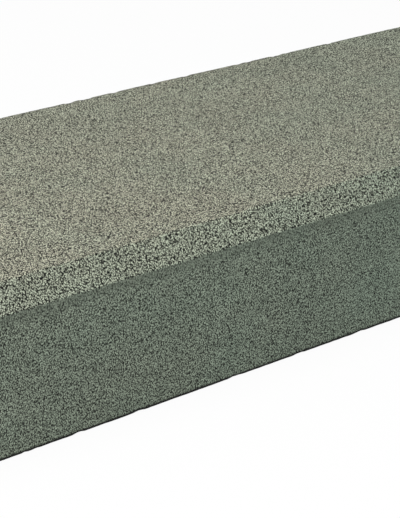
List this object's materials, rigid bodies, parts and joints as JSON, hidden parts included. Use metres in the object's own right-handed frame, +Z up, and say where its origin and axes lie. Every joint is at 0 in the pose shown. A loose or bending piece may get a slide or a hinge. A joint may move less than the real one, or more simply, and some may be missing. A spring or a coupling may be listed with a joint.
{
  "type": "concrete block step",
  "caption": "Solid cast concrete block step for an outdoor stair, with a flat tread and a bevelled front top edge.",
  "frame": {"origin": "middle of the base, on the ground", "axes": "+X along the length of the step, +Y from the riser (front) to the back, +Z up through the tread"},
  "size_m": [1, 0.35, 0.15],
  "materials": {
    "cast_concrete": "matte grey-green precast concrete with a fine open sand texture, coarser on the bevel"
  },
  "bodies": {
    "root": {"block_step": "cast_concrete"}
  },
  "joints": []
}
